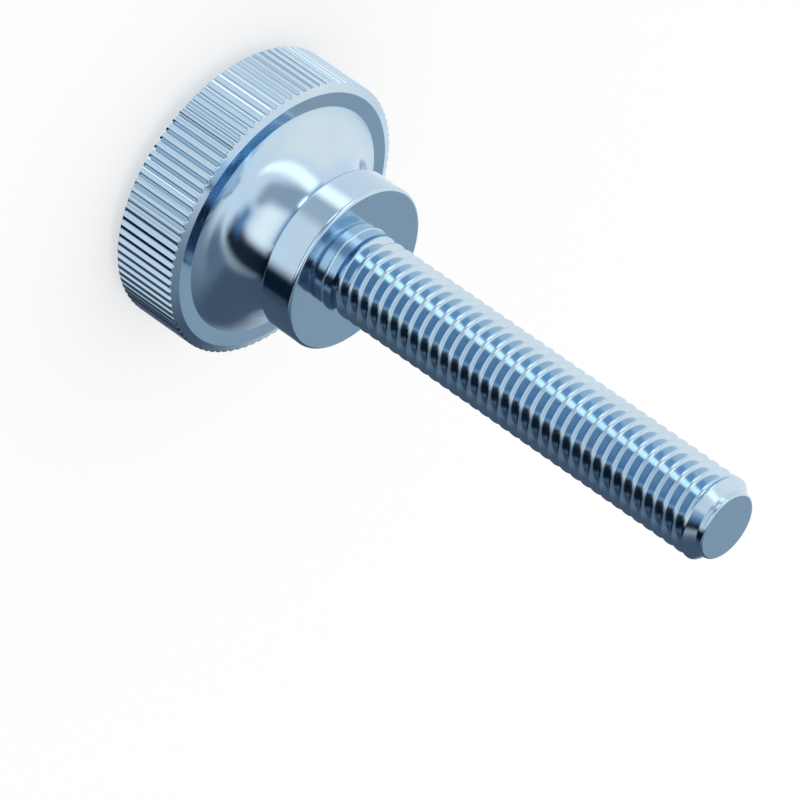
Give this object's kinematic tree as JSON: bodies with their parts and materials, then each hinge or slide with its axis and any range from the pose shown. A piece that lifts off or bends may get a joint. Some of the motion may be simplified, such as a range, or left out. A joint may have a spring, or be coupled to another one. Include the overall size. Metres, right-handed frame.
{
  "type": "knurled thumb screw",
  "caption": "Long metal thumb screw with a knurled round head, a flared neck with a collar, and a threaded shank that ends in a short pilot.",
  "frame": {"origin": "centre of the flat top face of the head, with the screw standing on its head", "axes": "+Z along the screw's axis, from the head to the tip of the shank; X and Y across it"},
  "size_m": [0.0336, 0.0336, 0.0758],
  "materials": {
    "zinc_plated_steel": "bright bluish zinc plating, smooth turned faces"
  },
  "bodies": {
    "root": {"thumb_screw": "zinc_plated_steel"}
  },
  "joints": []
}
